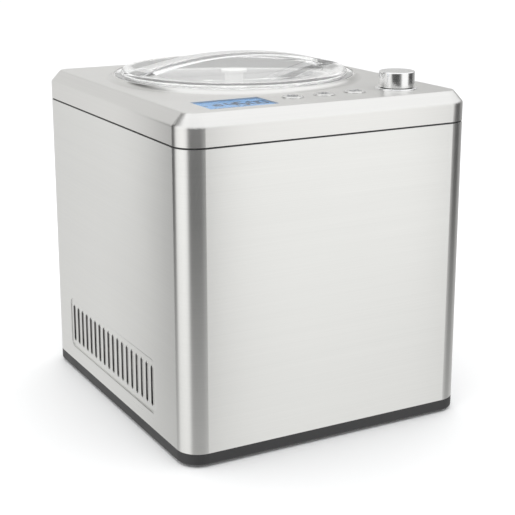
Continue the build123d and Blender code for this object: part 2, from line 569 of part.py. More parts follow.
# ---- drive motor under the gearbox ----------------------------------------------------------
MOTOR_R = 33.0
MOTOR_Z = (58.0, GEAR_FLOOR)
MOTOR_SHAFT_R = 4.0
with BuildPart() as motor_can:
    disc((0, MOTOR_Y), MOTOR_Z[0], MOTOR_Z[1], MOTOR_R)
    fillet(motor_can.faces().sort_by(Axis.Z)[0].edges(), 4.0)
    disc((0, MOTOR_Y), MOTOR_Z[0] + 3, MOTOR_Z[1] - 3, MOTOR_R - 2, mode=Mode.SUBTRACT)
    for low in (MOTOR_Z[0] + 2, MOTOR_Z[1] - 8):
        disc((0, MOTOR_Y), low, low + 6, 10)
    disc((0, MOTOR_Y), MOTOR_Z[0] + 2, MOTOR_Z[1], MOTOR_SHAFT_R + 0.06, mode=Mode.SUBTRACT)
    for turn in range(8):
        angle = radians(turn * 45)
        cut = Plane(origin=(MOTOR_R * cos(angle), MOTOR_Y + MOTOR_R * sin(angle), 100),
                    x_dir=(0, 0, 1), z_dir=(cos(angle), sin(angle), 0))
        with BuildSketch(cut):
            SlotOverall(14, 5)
        extrude(amount=-3, mode=Mode.SUBTRACT)
save(motor_can, "motor_can")

with BuildPart() as motor_stator:
    disc((0, MOTOR_Y), 72.0, 112.0, MOTOR_R - 2.1, bore=20.0)
    with BuildSketch(Plane.XY.offset(72.0)):
        with Locations((0, MOTOR_Y)):
            with PolarLocations(25.0, 12):
                Circle(2.6)
    extrude(amount=40, mode=Mode.SUBTRACT)
save(motor_stator, "motor_stator")

with BuildPart() as motor_rotor:
    disc((0, MOTOR_Y), 74.0, 110.0, 19.2)
    disc((0, MOTOR_Y), MOTOR_Z[0] + 2.5, 137.5, MOTOR_SHAFT_R)
save(motor_rotor, "motor_rotor")

with BuildPart() as motor_pinion:
    gear((0, MOTOR_Y), 128.5, 137.0, PINION_TEETH, UP + pi / PINION_TEETH)
    disc((0, MOTOR_Y), 128.0, 138.0, MOTOR_SHAFT_R, mode=Mode.SUBTRACT)
save(motor_pinion, "motor_pinion")

BRACKET_T = 2.0
BRACKET_Y = (HOUSING_FRONT + 2.0, -12.0)
with BuildPart() as gearbox_bracket:
    for side in (-1, 1):
        block(sorted((side * HOUSING_HALF_W, side * (HOUSING_HALF_W + BRACKET_T))), BRACKET_Y,
              (BASE_FLOOR, GEAR_TOP))
        block(sorted((side * HOUSING_HALF_W, side * (HOUSING_HALF_W + 18))), BRACKET_Y,
              (BASE_FLOOR, BASE_FLOOR + BRACKET_T))
    block((-HOUSING_HALF_W, HOUSING_HALF_W), (BRACKET_Y[0], BRACKET_Y[0] + BRACKET_T),
          (BASE_FLOOR, MOTOR_Z[0] - 12))
    with BuildSketch(Plane.YZ):
        with Locations(((BRACKET_Y[0] + BRACKET_Y[1]) / 2, 66.0)):
            SlotOverall(78.0, 30.0, rotation=90)
    extrude(amount=60, both=True, mode=Mode.SUBTRACT)
save(gearbox_bracket, "gearbox_bracket")

# ---- refrigeration: compressor on its rubber mounts -----------------------------------------
MOUNT_PITCH = 88.0
CX, CY = COMPRESSOR_XY
MOUNT_XY = [(CX + sx * MOUNT_PITCH / 2, CY + sy * MOUNT_PITCH / 2) for sx in (-1, 1) for sy in (-1, 1)]
PLATE_Z = (19.0, 22.0)
SHELL_R = COMPRESSOR_R - 2
DOME_Z = (112.0, 140.0)
DOME_R = (SHELL_R ** 2 + (DOME_Z[1] - DOME_Z[0]) ** 2) / (2 * (DOME_Z[1] - DOME_Z[0]))
DOME_HALF_TURN = asin(SHELL_R / DOME_R) / 2
with BuildPart() as compressor_shell:
    with BuildSketch(Plane.XZ.offset(-CY)):
        with BuildLine():
            side_x = CX + SHELL_R
            crown = (CX + DOME_R * sin(DOME_HALF_TURN), DOME_Z[1] - DOME_R * (1 - cos(DOME_HALF_TURN)))
            Line((CX, PLATE_Z[1]), (CX + 38, PLATE_Z[1]))
            ThreePointArc((CX + 38, PLATE_Z[1]), (CX + 48, PLATE_Z[1] + 4.2), (side_x, PLATE_Z[1] + 14))
            Polyline((side_x, PLATE_Z[1] + 14), (side_x, 84), (side_x + 2, 84), (side_x + 2, 88),
                     (side_x, 88), (side_x, DOME_Z[0]))
            ThreePointArc((side_x, DOME_Z[0]), crown, (CX, DOME_Z[1]))
            Line((CX, DOME_Z[1]), (CX, PLATE_Z[1]))
        make_face()
    revolve(axis=Axis((CX, CY, 0), (0, 0, 1)))
    # mounting plate welded under the shell
    with BuildSketch(Plane.XY.offset(PLATE_Z[0])):
        with Locations(COMPRESSOR_XY):
            RectangleRounded(MOUNT_PITCH + 20, MOUNT_PITCH + 20, 10)
        for spot in MOUNT_XY:
            with Locations(spot):
                Circle(6.0, mode=Mode.SUBTRACT)
    extrude(amount=PLATE_Z[1] - PLATE_Z[0])
save(compressor_shell, "compressor_shell")

with BuildPart() as compressor_mounts:
    for spot in MOUNT_XY:
        disc(spot, BASE_FLOOR, PLATE_Z[0], 9.0)
        disc(spot, PLATE_Z[0], PLATE_Z[1], 6.0 - FIT)
        disc(spot, PLATE_Z[1], PLATE_Z[1] + 3, 8.0)
        disc(spot, BASE_FLOOR, PLATE_Z[1] + 3, 3.0 + FIT, mode=Mode.SUBTRACT)
save(compressor_mounts, "compressor_mounts")

with BuildPart() as compressor_bolts:
    for x, y in MOUNT_XY:
        disc((x, y), BASE_FLOOR, PLATE_Z[1] + 5, 3.0)
        with BuildSketch(Plane.XY.offset(PLATE_Z[1] + 3)):
            with Locations((x, y)):
                RegularPolygon(5.8, 6)
        extrude(amount=4.5)
save(compressor_bolts, "compressor_bolts")

with BuildPart() as compressor_relay:
    block((CX - 20, CX + 20), (CY - COMPRESSOR_R - 22, CY - COMPRESSOR_R - 0.5), (56.0, 104.0))
    fillet(compressor_relay.edges().filter_by(Axis.X), 3.0)
save(compressor_relay, "compressor_relay")

# ---- condenser: finned serpentine behind the left vents -------------------------------------
FIN_PITCH = 5.5
FIN_T = 0.6
CONDENSER_TUBE_R = 3.5
ROW_Z = [38.0 + 15.5 * row for row in range(6)]
MID_X = (CONDENSER_X[0] + CONDENSER_X[1]) / 2
FIN_COUNT = 31
with BuildPart() as condenser_fins:
    for index in range(FIN_COUNT):
        y_fin = CONDENSER_Y[0] + 5.5 + index * FIN_PITCH
        fin_plane = Plane(origin=(MID_X, y_fin, 0), x_dir=(1, 0, 0), z_dir=(0, -1, 0))
        with BuildSketch(fin_plane):
            with Locations((0, (CONDENSER_Z[0] + CONDENSER_Z[1]) / 2)):
                Rectangle(CONDENSER_X[1] - CONDENSER_X[0] - 2, CONDENSER_Z[1] - CONDENSER_Z[0] - 4)
            for z in ROW_Z:
                with Locations((0, z)):
                    Circle(CONDENSER_TUBE_R + FIT, mode=Mode.SUBTRACT)
        extrude(amount=FIN_T)
save(condenser_fins, "condenser_fins")

with BuildPart() as condenser_tubes:
    ends = (CONDENSER_Y[0] - 9, CONDENSER_Y[1] + 9)
    points = [(MID_X, ends[1] + 5, ROW_Z[0])]
    for index, z in enumerate(ROW_Z):
        near, far = (ends[1], ends[0]) if index % 2 == 0 else (ends[0], ends[1])
        if index:
            points.append((MID_X, near, z))
        if index < len(ROW_Z) - 1:
            points.append((MID_X, far, z))
    points.append((MID_X, ends[1] + 5, ROW_Z[-1]))
    tube(points, CONDENSER_TUBE_R, 7.0)
save(condenser_tubes, "condenser_tubes")

with BuildPart() as condenser_frame:
    for y in (CONDENSER_Y[0], CONDENSER_Y[1] - 1.5):
        block(CONDENSER_X, (y, y + 1.5), (BASE_FLOOR, CONDENSER_Z[1]))
        with BuildSketch(Plane(origin=(MID_X, y, 0), x_dir=(-1, 0, 0), z_dir=(0, 1, 0))):
            for z in ROW_Z:
                with Locations((0, z)):
                    Circle(CONDENSER_TUBE_R + 0.1)
        extrude(amount=1.5, mode=Mode.SUBTRACT)
save(condenser_frame, "condenser_frame")

# ---- condenser fan --------------------------------------------------------------------------
FAN_DEPTH = 24.0
FAN_HALF = 54.0
FAN_HUB_R = 18.0
BLADES = 7
fan_plane = Plane(origin=(FAN_X, FAN_YZ[0], FAN_YZ[1]), x_dir=(0, 1, 0), z_dir=(1, 0, 0))
with BuildPart() as fan_frame:
    with BuildSketch(fan_plane):
        RectangleRounded(2 * FAN_HALF, 2 * FAN_HALF, 6)
        Circle(FAN_R + 2.0, mode=Mode.SUBTRACT)
        with GridLocations(2 * FAN_HALF - 12, 2 * FAN_HALF - 12, 2, 2):
            Circle(2.2, mode=Mode.SUBTRACT)
    extrude(amount=FAN_DEPTH)
    with BuildSketch(fan_plane.offset(FAN_DEPTH - 3)):
        Circle(16.0)
        with PolarLocations(34.0, 3, start_angle=90):
            Rectangle(38.0, 5.0)
    extrude(amount=3)
    for leg_y in (FAN_YZ[0] - 40, FAN_YZ[0] + 28):
        block((FAN_X, FAN_X + FAN_DEPTH), (leg_y, leg_y + 12), (BASE_FLOOR, FAN_YZ[1] - FAN_HALF + 2))
save(fan_frame, "fan_frame")

with BuildPart() as fan_motor:
    with BuildSketch(fan_plane.offset(5)):
        Circle(14.0)
        Circle(2.06, mode=Mode.SUBTRACT)
    extrude(amount=FAN_DEPTH - 8)
save(fan_motor, "fan_motor")

with BuildPart() as fan_impeller:
    with BuildSketch(fan_plane.offset(1.5)):
        Circle(FAN_HUB_R)
    extrude(amount=17)
    with BuildSketch(fan_plane.offset(4)):
        Circle(15.5)
    extrude(amount=20, mode=Mode.SUBTRACT)
    with BuildSketch(fan_plane.offset(2)):
        Circle(2.0)
    extrude(amount=16)
    for blade in range(BLADES):
        angle = 2 * pi * blade / BLADES
        outward = Vector(0, cos(angle), sin(angle))
        across = Vector(0, -sin(angle), cos(angle))
        pitch_dir = across * cos(radians(32)) + Vector(1, 0, 0) * sin(radians(32))
        root = Vector(FAN_X + 10, FAN_YZ[0], FAN_YZ[1]) + outward * (FAN_HUB_R - 2.0)
        with BuildSketch(Plane(origin=root, x_dir=pitch_dir, z_dir=outward)):
            RectangleRounded(24.0, 1.8, 0.85)
        extrude(amount=FAN_R - FAN_HUB_R - 1.0)
    with BuildSketch(fan_plane.offset(4)):
        Circle(15.5)
        Circle(2.0, mode=Mode.SUBTRACT)
    extrude(amount=20, mode=Mode.SUBTRACT)
save(fan_impeller, "fan_impeller")

# ---- refrigerant lines ----------------------------------------------------------------------
LINE_R = 3.0
DRIER_XY = (-38.0, 130.0)
DRIER_Z = (60.0, 130.0)
CONDENSER_END_Y = CONDENSER_Y[1] + 14.0
REAR_RUN_Y = 122.0
RUN_Z = 146.0
with BuildPart() as filter_drier:
    disc(DRIER_XY, DRIER_Z[0], DRIER_Z[1], 9.0)
    chamfer(filter_drier.edges().filter_by(GeomType.CIRCLE), 4.0)
    disc(DRIER_XY, DRIER_Z[0] - 10, DRIER_Z[0], 2.0)
    disc(DRIER_XY, DRIER_Z[1], DRIER_Z[1] + 8, LINE_R)
save(filter_drier, "filter_drier")

with BuildPart() as high_side_lines:
    # from the compressor to the condenser, and from the condenser to the drier
    tube([(CX - COMPRESSOR_R + 1.8, CY, 100), (8, CY, 100), (8, REAR_RUN_Y, 100), (8, REAR_RUN_Y, ROW_Z[0]),
          (MID_X, REAR_RUN_Y, ROW_Z[0]), (MID_X, CONDENSER_END_Y, ROW_Z[0])], LINE_R, 6.0)
    tube([(MID_X, CONDENSER_END_Y, ROW_Z[-1]), (MID_X, DRIER_XY[1], ROW_Z[-1]), (MID_X, DRIER_XY[1], RUN_Z),
          (*DRIER_XY, RUN_Z), (*DRIER_XY, DRIER_Z[1] + 8)], LINE_R, 6.0)
save(high_side_lines, "high_side_lines")

with BuildPart() as capillary_tube:
    tube([(*DRIER_XY, DRIER_Z[0] - 10), (*DRIER_XY, 43.0), (-22.0, DRIER_XY[1], 43.0),
          (-22.0, DRIER_XY[1], 152.0), (*FOAM_CAPILLARY_XY, 152.0),
          (*FOAM_CAPILLARY_XY, COIL_Z - COIL_TUBE_R)], 1.5, 3.0)
save(capillary_tube, "capillary_tube")

with BuildPart() as suction_line:
    pipe_x, pipe_y = FOAM_PIPE_XY
    shell_y = CY + sqrt(SHELL_R ** 2 - (pipe_x + LINE_R - CX) ** 2) + 0.2
    tube([(pipe_x, pipe_y, COIL_Z - COIL_TUBE_R), (pipe_x, pipe_y, 150.0), (pipe_x, 148.5, 150.0),
          (pipe_x, 148.5, 70.0), (pipe_x, shell_y, 70.0)], LINE_R, 5.0)
save(suction_line, "suction_line")

# ---- mains inlet and power electronics ------------------------------------------------------
INLET_DEPTH = 24.0
CAVITY = (25.0, 17.0)
inlet_plane = Plane(origin=(INLET_XZ[0], REAR_FACE_Y, INLET_XZ[1]), x_dir=(-1, 0, 0), z_dir=(0, 1, 0))
with BuildPart() as power_inlet:
    with BuildSketch(inlet_plane):
        Rectangle(*INLET_BODY)
    extrude(amount=-INLET_DEPTH)
    with BuildSketch(inlet_plane):
        RectangleRounded(31.0, 24.0, 2.0)
    extrude(amount=1.1)
    with BuildSketch(inlet_plane.offset(1.1)):
        Rectangle(*CAVITY)
    extrude(amount=-17.1, mode=Mode.SUBTRACT)
save(power_inlet, "power_inlet")

with BuildPart() as inlet_pins:
    for x, z in ((-7.0, -2.0), (7.0, -2.0), (0.0, 2.0)):
        with BuildSketch(inlet_plane.offset(-16.0)):
            with Locations((x, z)):
                Rectangle(2.0, 4.0)
        extrude(amount=15.0)
save(inlet_pins, "inlet_pins")

POWER_X = (56.0, 128.0)
POWER_Y = (-132.0, -30.0)
with BuildPart() as power_board:
    block(POWER_X, POWER_Y, (19.0, 19.0 + BOARD_T))
    for x in (POWER_X[0] + 5, POWER_X[1] - 5):
        for y in (POWER_Y[0] + 5, POWER_Y[1] - 5):
            disc((x, y), 19.0, 19.0 + BOARD_T, 1.7, mode=Mode.SUBTRACT)
save(power_board, "power_board")

BOARD_TOP = 19.0 + BOARD_T
with BuildPart() as power_components:
    # transformer with its winding, and two relays
    block((64, 106), (-120, -84), (BOARD_TOP, BOARD_TOP + 34))
    block((70, 100), (-124, -80), (BOARD_TOP + 6, BOARD_TOP + 28))
    for y in (-74.0, -56.0):
        block((66, 94), (y, y + 13), (BOARD_TOP, BOARD_TOP + 16))
save(power_components, "power_components")

with BuildPart() as run_capacitor:
    disc((112, -56), BOARD_TOP, BOARD_TOP + 58, 13.0)
    chamfer(run_capacitor.faces().sort_by(Axis.Z)[-1].edges(), 1.5)
save(run_capacitor, "run_capacitor")

# ---- control panel --------------------------------------------------------------------------
BOARD_UP = BOARD_Z + BOARD_T
WINDOW_GLASS = 1.8
with BuildPart() as lcd_window:
    with BuildSketch(Plane.XY.offset(DECK_Z - 0.1 - WINDOW_GLASS)):
        with Locations(LCD_XY):
            Rectangle(LCD_SIZE[0] - 0.2, LCD_SIZE[1] - 0.2)
    extrude(amount=WINDOW_GLASS)
save(lcd_window, "lcd_window")

with BuildPart() as lcd_module:
    block((LCD_XY[0] - 35, LCD_XY[0] + 35), (LCD_XY[1] - 21, LCD_XY[1] + 21), (BOARD_UP, DECK_UNDER - 0.2))
save(lcd_module, "lcd_module")

with BuildPart() as control_board:
    block((-114, 114), (-141, -94), (BOARD_Z, BOARD_UP))
    for x in (-1.0, 68.0):
        disc((x, BUTTON_Y), BOARD_Z, BOARD_UP, 1.7, mode=Mode.SUBTRACT)
save(control_board, "control_board")

with BuildPart() as board_standoffs:
    for x in (POWER_X[0] + 5, POWER_X[1] - 5):
        for y in (POWER_Y[0] + 5, POWER_Y[1] - 5):
            disc((x, y), BASE_FLOOR, 19.0, 3.5)
            disc((x, y), 19.0, 19.0 + BOARD_T + 1.4, 1.6)
    for x in (-1.0, 68.0):
        disc((x, BUTTON_Y), BOARD_UP, DECK_UNDER, 3.5)
        disc((x, BUTTON_Y), BOARD_Z - 1.5, BOARD_UP, 1.6)
save(board_standoffs, "board_standoffs")

SWITCH_TOP = BOARD_UP + 4.3
with BuildPart() as button_switches:
    for x in BUTTON_X.values():
        block((x - 3, x + 3), (BUTTON_Y - 3, BUTTON_Y + 3), (BOARD_UP, SWITCH_TOP - 1))
        disc((x, BUTTON_Y), SWITCH_TOP - 1, SWITCH_TOP, 1.7)
save(button_switches, "button_switches")

BUTTON_TOP = DECK_Z + 1.2
for name, x in BUTTON_X.items():
    with BuildPart() as button:
        disc((x, BUTTON_Y), DECK_Z - 5, BUTTON_TOP, BUTTON_R)
        fillet(button.faces().sort_by(Axis.Z)[-1].edges(), 0.8)
        disc((x, BUTTON_Y), DECK_Z - 5, DECK_Z - 3.6, BUTTON_R + 1.5)
        disc((x, BUTTON_Y), SWITCH_TOP + BUTTON_TRAVEL + 0.1, DECK_Z - 5, 2.2)
    save(button, f"{name}_button")

with BuildPart() as knob_ring:
    with BuildSketch(Plane.XY.offset(DECK_Z)):
        with Locations(KNOB_XY):
            Circle(18.8)
            Circle(4.2, mode=Mode.SUBTRACT)
    extrude(amount=1.3)
    fillet(knob_ring.faces().sort_by(Axis.Z)[-1].edges().sort_by(SortBy.LENGTH)[-1], 0.9)
save(knob_ring, "knob_ring")

KNOB_Z = DECK_Z + 1.8
with BuildPart() as selector_knob:
    disc(KNOB_XY, KNOB_Z, KNOB_Z + KNOB_H, KNOB_R)
    fillet(selector_knob.faces().sort_by(Axis.Z)[-1].edges(), 1.2)
    disc(KNOB_XY, KNOB_Z, KNOB_Z + KNOB_H - 2.2, KNOB_R - 1.8, mode=Mode.SUBTRACT)
    disc(KNOB_XY, KNOB_Z + 1.0, KNOB_Z + KNOB_H - 2.2, 6.0)
    disc(KNOB_XY, KNOB_Z, KNOB_Z + 10.0, 3.0, mode=Mode.SUBTRACT)
save(selector_knob, "selector_knob")

with BuildPart() as encoder_shaft:
    disc(KNOB_XY, BOARD_UP + 3, KNOB_Z + 10.0, 3.0)
save(encoder_shaft, "encoder_shaft")

with BuildPart() as rotary_encoder:
    block((KNOB_XY[0] - 6.5, KNOB_XY[0] + 6.5), (KNOB_XY[1] - 6.5, KNOB_XY[1] + 6.5),
          (BOARD_UP, BOARD_UP + 6.5))
    disc(KNOB_XY, BOARD_UP + 6.5, DECK_Z + 1.0, 4.0)
    disc(KNOB_XY, BOARD_UP + 2.5, DECK_Z + 1.0, 3.06, mode=Mode.SUBTRACT)
save(rotary_encoder, "rotary_encoder")

# ---- fasteners ------------------------------------------------------------------------------
with BuildPart() as case_screws:
    for x, z in REAR_SCREWS:
        screw(Plane(origin=(x, REAR_FACE_Y, z), x_dir=(-1, 0, 0), z_dir=(0, 1, 0)), 3.6, 1.0, 1.9, 8.0)
    for x, y in POST_XY:
        screw(Plane(origin=(x, y, SCREW_SEAT_Z), x_dir=(1, 0, 0), z_dir=(0, 0, -1)), 3.6, 2.0, 1.9, 14.0)
        screw(Plane.XY.move(Location((x, y, FRAME_WEB[1]))), 3.6, 2.2, 1.85, 13.0)
    for x, y in GEAR_SCREWS:
        screw(Plane.XY.move(Location((x, y, GEAR_TOP + COVER_T))), 2.9, 1.8, 1.6, 14.0)
save(case_screws, "case_screws")
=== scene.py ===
from math import cos, pi, radians, sin, tan

import bmesh
import bpy
from mathutils import Matrix, Vector


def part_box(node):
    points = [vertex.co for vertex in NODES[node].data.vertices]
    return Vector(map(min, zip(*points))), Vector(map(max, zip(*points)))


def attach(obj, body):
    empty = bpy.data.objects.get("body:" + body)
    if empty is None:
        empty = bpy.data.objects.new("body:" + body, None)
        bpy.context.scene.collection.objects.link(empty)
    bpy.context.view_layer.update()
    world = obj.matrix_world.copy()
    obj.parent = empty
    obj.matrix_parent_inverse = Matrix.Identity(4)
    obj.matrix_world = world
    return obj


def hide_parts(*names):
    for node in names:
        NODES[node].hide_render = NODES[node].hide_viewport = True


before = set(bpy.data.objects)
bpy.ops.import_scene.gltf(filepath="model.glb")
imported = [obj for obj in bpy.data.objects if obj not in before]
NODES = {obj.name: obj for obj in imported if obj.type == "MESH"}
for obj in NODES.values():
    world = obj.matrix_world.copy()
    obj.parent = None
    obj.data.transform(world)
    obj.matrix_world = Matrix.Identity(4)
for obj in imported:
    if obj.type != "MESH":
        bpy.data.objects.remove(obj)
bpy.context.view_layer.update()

MM = 0.001

# ---- places taken from the frame -------------------------------------------------------------
CASING_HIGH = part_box("steel_casing")[1]
SEAT_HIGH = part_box("lid_seat")[1]
LID_LOW, LID_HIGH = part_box("lid_shell")
AXIS_Y = (LID_LOW[1] + LID_HIGH[1]) / 2
SEAT_RISE = 1.0 * MM      # the lid's seat stands this far above the deck
DECK_Z = SEAT_HIGH[2] - SEAT_RISE


# ---- shader helpers --------------------------------------------------------------------------
class Finish:
    """One procedural finish: a Principled shader and the nodes that feed it."""

    def __init__(self, name, colour, roughness, metallic=0.0):
        self.material = bpy.data.materials.new(name)
        self.material.use_nodes = True
        self.tree = self.material.node_tree
        self.shader = self.tree.nodes["Principled BSDF"]
        self.shader.inputs["Base Color"].default_value = (*colour, 1.0)
        self.shader.inputs["Roughness"].default_value = roughness
        self.shader.inputs["Metallic"].default_value = metallic
        self.place = self.add("ShaderNodeTexCoord").outputs["Object"]
        self.material.diffuse_color = (*colour, 1.0)

    def add(self, kind, **settings):
        node = self.tree.nodes.new(kind)
        for key, value in settings.items():
            setattr(node, key, value)
        return node

    def link(self, source, target):
        self.tree.links.new(source, target)

    def set(self, socket, value):
        self.shader.inputs[socket].default_value = value

    def stretched(self, scale):
        """Object coordinates stretched by scale along each axis."""
        node = self.add("ShaderNodeMapping")
        node.inputs["Scale"].default_value = scale
        self.link(self.place, node.inputs["Vector"])
        return node.outputs["Vector"]

    def noise(self, scale, detail=3.0, stretch=(1, 1, 1), rough=0.5):
        node = self.add("ShaderNodeTexNoise")
        node.inputs["Scale"].default_value = scale
        node.inputs["Detail"].default_value = detail
        node.inputs["Roughness"].default_value = rough
        self.link(self.stretched(stretch), node.inputs["Vector"])
        return node.outputs["Fac"]

    def span(self, value, low, high, from_low=0.3, from_high=0.7):
        """A noise value mapped to a range."""
        node = self.add("ShaderNodeMapRange")
        node.inputs["From Min"].default_value = from_low
        node.inputs["From Max"].default_value = from_high
        node.inputs["To Min"].default_value = low
        node.inputs["To Max"].default_value = high
        self.link(value, node.inputs["Value"])
        return node.outputs["Result"]

    def blend(self, value, first, second):
        """A colour between two, by value."""
        node = self.add("ShaderNodeMix", data_type="RGBA")
        node.inputs["A"].default_value = (*first, 1.0)
        node.inputs["B"].default_value = (*second, 1.0)
        self.link(value, node.inputs["Factor"])
        return node.outputs["Result"]

    def choose(self, value, first, second):
        """A number taken from one socket or another, by value."""
        node = self.add("ShaderNodeMix", data_type="FLOAT")
        self.link(value, node.inputs["Factor"])
        self.link(first, node.inputs["A"])
        self.link(second, node.inputs["B"])
        return node.outputs["Result"]

    def bump(self, height, depth, strength=1.0):
        node = self.add("ShaderNodeBump")
        node.inputs["Strength"].default_value = strength
        node.inputs["Distance"].default_value = depth
        self.link(height, node.inputs["Height"])
        self.link(node.outputs["Normal"], self.shader.inputs["Normal"])

    def colour(self, value, first, second):
        self.link(self.blend(value, first, second), self.shader.inputs["Base Color"])

    def roughness(self, value):
        self.link(value, self.shader.inputs["Roughness"])


def tinted(colour, share):
    return tuple(channel * share for channel in colour)


def grained(name, colour, roughness, grain=900.0, depth=0.02, mottling=0.08, metallic=0.0):
    """A moulded or cast surface: fine grain, slight mottling and uneven gloss."""
    finish = Finish(name, colour, roughness, metallic)
    mottle = finish.noise(45.0, 4.0)
    finish.colour(finish.span(mottle, 0.0, 1.0), tinted(colour, 1 - mottling), tinted(colour, 1 + mottling))
    fine = finish.noise(grain, 2.0)
    finish.roughness(finish.span(mottle, roughness - 0.05, roughness + 0.05))
    finish.bump(fine, depth * MM)
    return finish.material


def brushed(name, colour, roughness, deck=False, contrast=0.035):
    """Stainless sheet brushed level along its walls, and from side to side on the deck."""
    finish = Finish(name, colour, roughness, 1.0)
    lines = finish.noise(1.0, 3.0, (5.0, 5.0, 1500.0), 0.6)
    broad = finish.noise(1.0, 3.0, (3.0, 3.0, 160.0), 0.6)
    if deck:
        facing = finish.add("ShaderNodeNewGeometry").outputs["Normal"]
        apart = finish.add("ShaderNodeSeparateXYZ")
        finish.link(facing, apart.inputs["Vector"])
        level = finish.span(apart.outputs["Z"], 0.0, 1.0, 0.88, 0.96)
        lines = finish.choose(level, lines, finish.noise(1.0, 3.0, (5.0, 1500.0, 5.0), 0.6))
        broad = finish.choose(level, broad, finish.noise(1.0, 3.0, (3.0, 160.0, 3.0), 0.6))
    cloud = finish.noise(9.0, 2.0)
    tone = finish.add("ShaderNodeMath", operation="ADD")
    finish.link(finish.span(lines, -contrast, contrast), tone.inputs[0])
    finish.link(finish.span(broad, -contrast / 2, contrast / 2), tone.inputs[1])
    finish.colour(finish.span(tone.outputs["Value"], 0.0, 1.0, -0.1, 0.1),
                  tinted(colour, 0.95), tinted(colour, 1.04))
    uneven = finish.add("ShaderNodeMath", operation="ADD")
    finish.link(finish.span(lines, roughness - 0.015, roughness + 0.015), uneven.inputs[0])
    finish.link(finish.span(cloud, -0.015, 0.015), uneven.inputs[1])
    finish.roughness(uneven.outputs["Value"])
    finish.set("Anisotropic", 0.85)
    along = finish.add("ShaderNodeCombineXYZ")
    along.inputs["Y"].default_value = 0.03
    along.inputs["Z"].default_value = 1.0
    finish.link(along.outputs["Vector"], finish.shader.inputs["Tangent"])
    finish.bump(lines, 0.0006 * MM)
    return finish.material


def metal(name, colour, roughness, stretch=(1, 1, 1), scale=300.0, depth=0.002, wear=0.04):
    """Plated, drawn or turned metal with faint marks and uneven gloss."""
    finish = Finish(name, colour, roughness, 1.0)
    marks = finish.noise(scale, 3.0, stretch)
    cloud = finish.noise(30.0, 3.0)
    finish.colour(finish.span(cloud, 0.0, 1.0), tinted(colour, 1 - wear), tinted(colour, 1 + wear / 2))
    finish.roughness(finish.span(marks, roughness * 0.8, roughness * 1.25))
    finish.bump(marks, depth * MM)
    return finish.material


def clear(name, colour, roughness=0.02, ior=1.49, clarity=1.0):
    """Clear moulded plastic with faint flow marks, milky where its clarity is below one."""
    finish = Finish(name, colour, roughness)
    finish.set("Transmission Weight", clarity)
    finish.set("IOR", ior)
    flow = finish.noise(20.0, 2.0)
    finish.roughness(finish.span(flow, roughness * 0.5, roughness * 1.6))
    finish.bump(flow, 0.01 * MM)
    return finish.material


def glowing(name, colour, strength):
    """A backlit display: an even field with a faint cell grid."""
    finish = Finish(name, colour, 0.35)
    grid = finish.noise(700.0, 1.0)
    shade = finish.blend(finish.span(grid, 0.0, 1.0), tinted(colour, 0.93), tinted(colour, 1.05))
    finish.link(shade, finish.shader.inputs["Base Color"])
    finish.link(shade, finish.shader.inputs["Emission Color"])
    finish.set("Emission Strength", strength)
    finish.set("Specular IOR Level", 0.1)
    return finish.material


FINISHES = {
    "brushed_steel": brushed("brushed_steel", (0.80, 0.80, 0.785), 0.30),
    "deck_steel": brushed("deck_steel", (0.80, 0.795, 0.78), 0.32, deck=True),
    "black_base": grained("black_base", (0.030, 0.030, 0.031), 0.5),
    "black_frame": grained("black_frame", (0.025, 0.025, 0.026), 0.55),
    "grey_panel": grained("grey_panel", (0.16, 0.16, 0.165), 0.5, mottling=0.025),
    "rubber": grained("rubber", (0.03, 0.03, 0.03), 0.75, 500.0, 0.04),
    "zinc_steel": metal("zinc_steel", (0.66, 0.67, 0.66), 0.34),
    "chrome": metal("chrome", (0.88, 0.88, 0.88), 0.17, depth=0.0004),
    "button_steel": metal("button_steel", (0.80, 0.80, 0.79), 0.24, depth=0.0008),
    "clear_plastic": clear("clear_plastic", (0.99, 0.99, 0.985), clarity=0.94),
    "display_glass": clear("display_glass", (0.92, 0.95, 1.0), 0.05, 1.04),
    "display_blue": glowing("display_blue", (0.085, 0.20, 0.345), 0.7),
    "white_plastic": grained("white_plastic", (0.93, 0.93, 0.92), 0.32, 700.0, 0.006, 0.015),
    "silicone": grained("silicone", (0.80, 0.80, 0.79), 0.5, 600.0, 0.01, 0.03),
    "bowl_aluminium": metal("bowl_aluminium", (0.92, 0.92, 0.925), 0.48, (1, 1, 14), 60.0, 0.002, 0.02),
    "copper": metal("copper", (0.83, 0.46, 0.30), 0.30, wear=0.2),
    "foam": grained("foam", (0.80, 0.72, 0.50), 0.85, 350.0, 0.25, 0.12),
    "compressor_black": grained("compressor_black", (0.02, 0.02, 0.021), 0.3, 250.0, 0.01),
    "gear_plastic": grained("gear_plastic", (0.82, 0.79, 0.68), 0.4, 800.0, 0.006, 0.03),
    "bronze": metal("bronze", (0.62, 0.42, 0.22), 0.42, wear=0.15),
    "board_green": grained("board_green", (0.02, 0.14, 0.06), 0.35, 400.0, 0.01, 0.15),
    "lamination": metal("lamination", (0.32, 0.32, 0.33), 0.45, (1, 1, 40), 60.0, 0.02),
}


def slot_of(node):
    """The record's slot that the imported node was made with."""
    return node.data.materials[0].name.split(".")[0]


for cad_node in NODES.values():
    cad_node.data.materials[0] = FINISHES[slot_of(cad_node)]


# ---- making pieces ---------------------------------------------------------------------------
DOUBLES = 1e-7            # points closer than this are one point
BOOLEAN_DOUBLES = 4e-6    # the same, after pieces were joined


def link_object(name, data):
    made = bpy.data.objects.new(name, data)
    bpy.context.scene.collection.objects.link(made)
    return made


def finished(made, body, slot, *nodes):
    """Sets a piece on its body, in a slot's finish, standing for the CAD nodes that it replaces."""
    if not made.data.materials:
        made.data.materials.append(FINISHES[slot])
    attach(made, body)
    if nodes:
        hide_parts(*nodes)


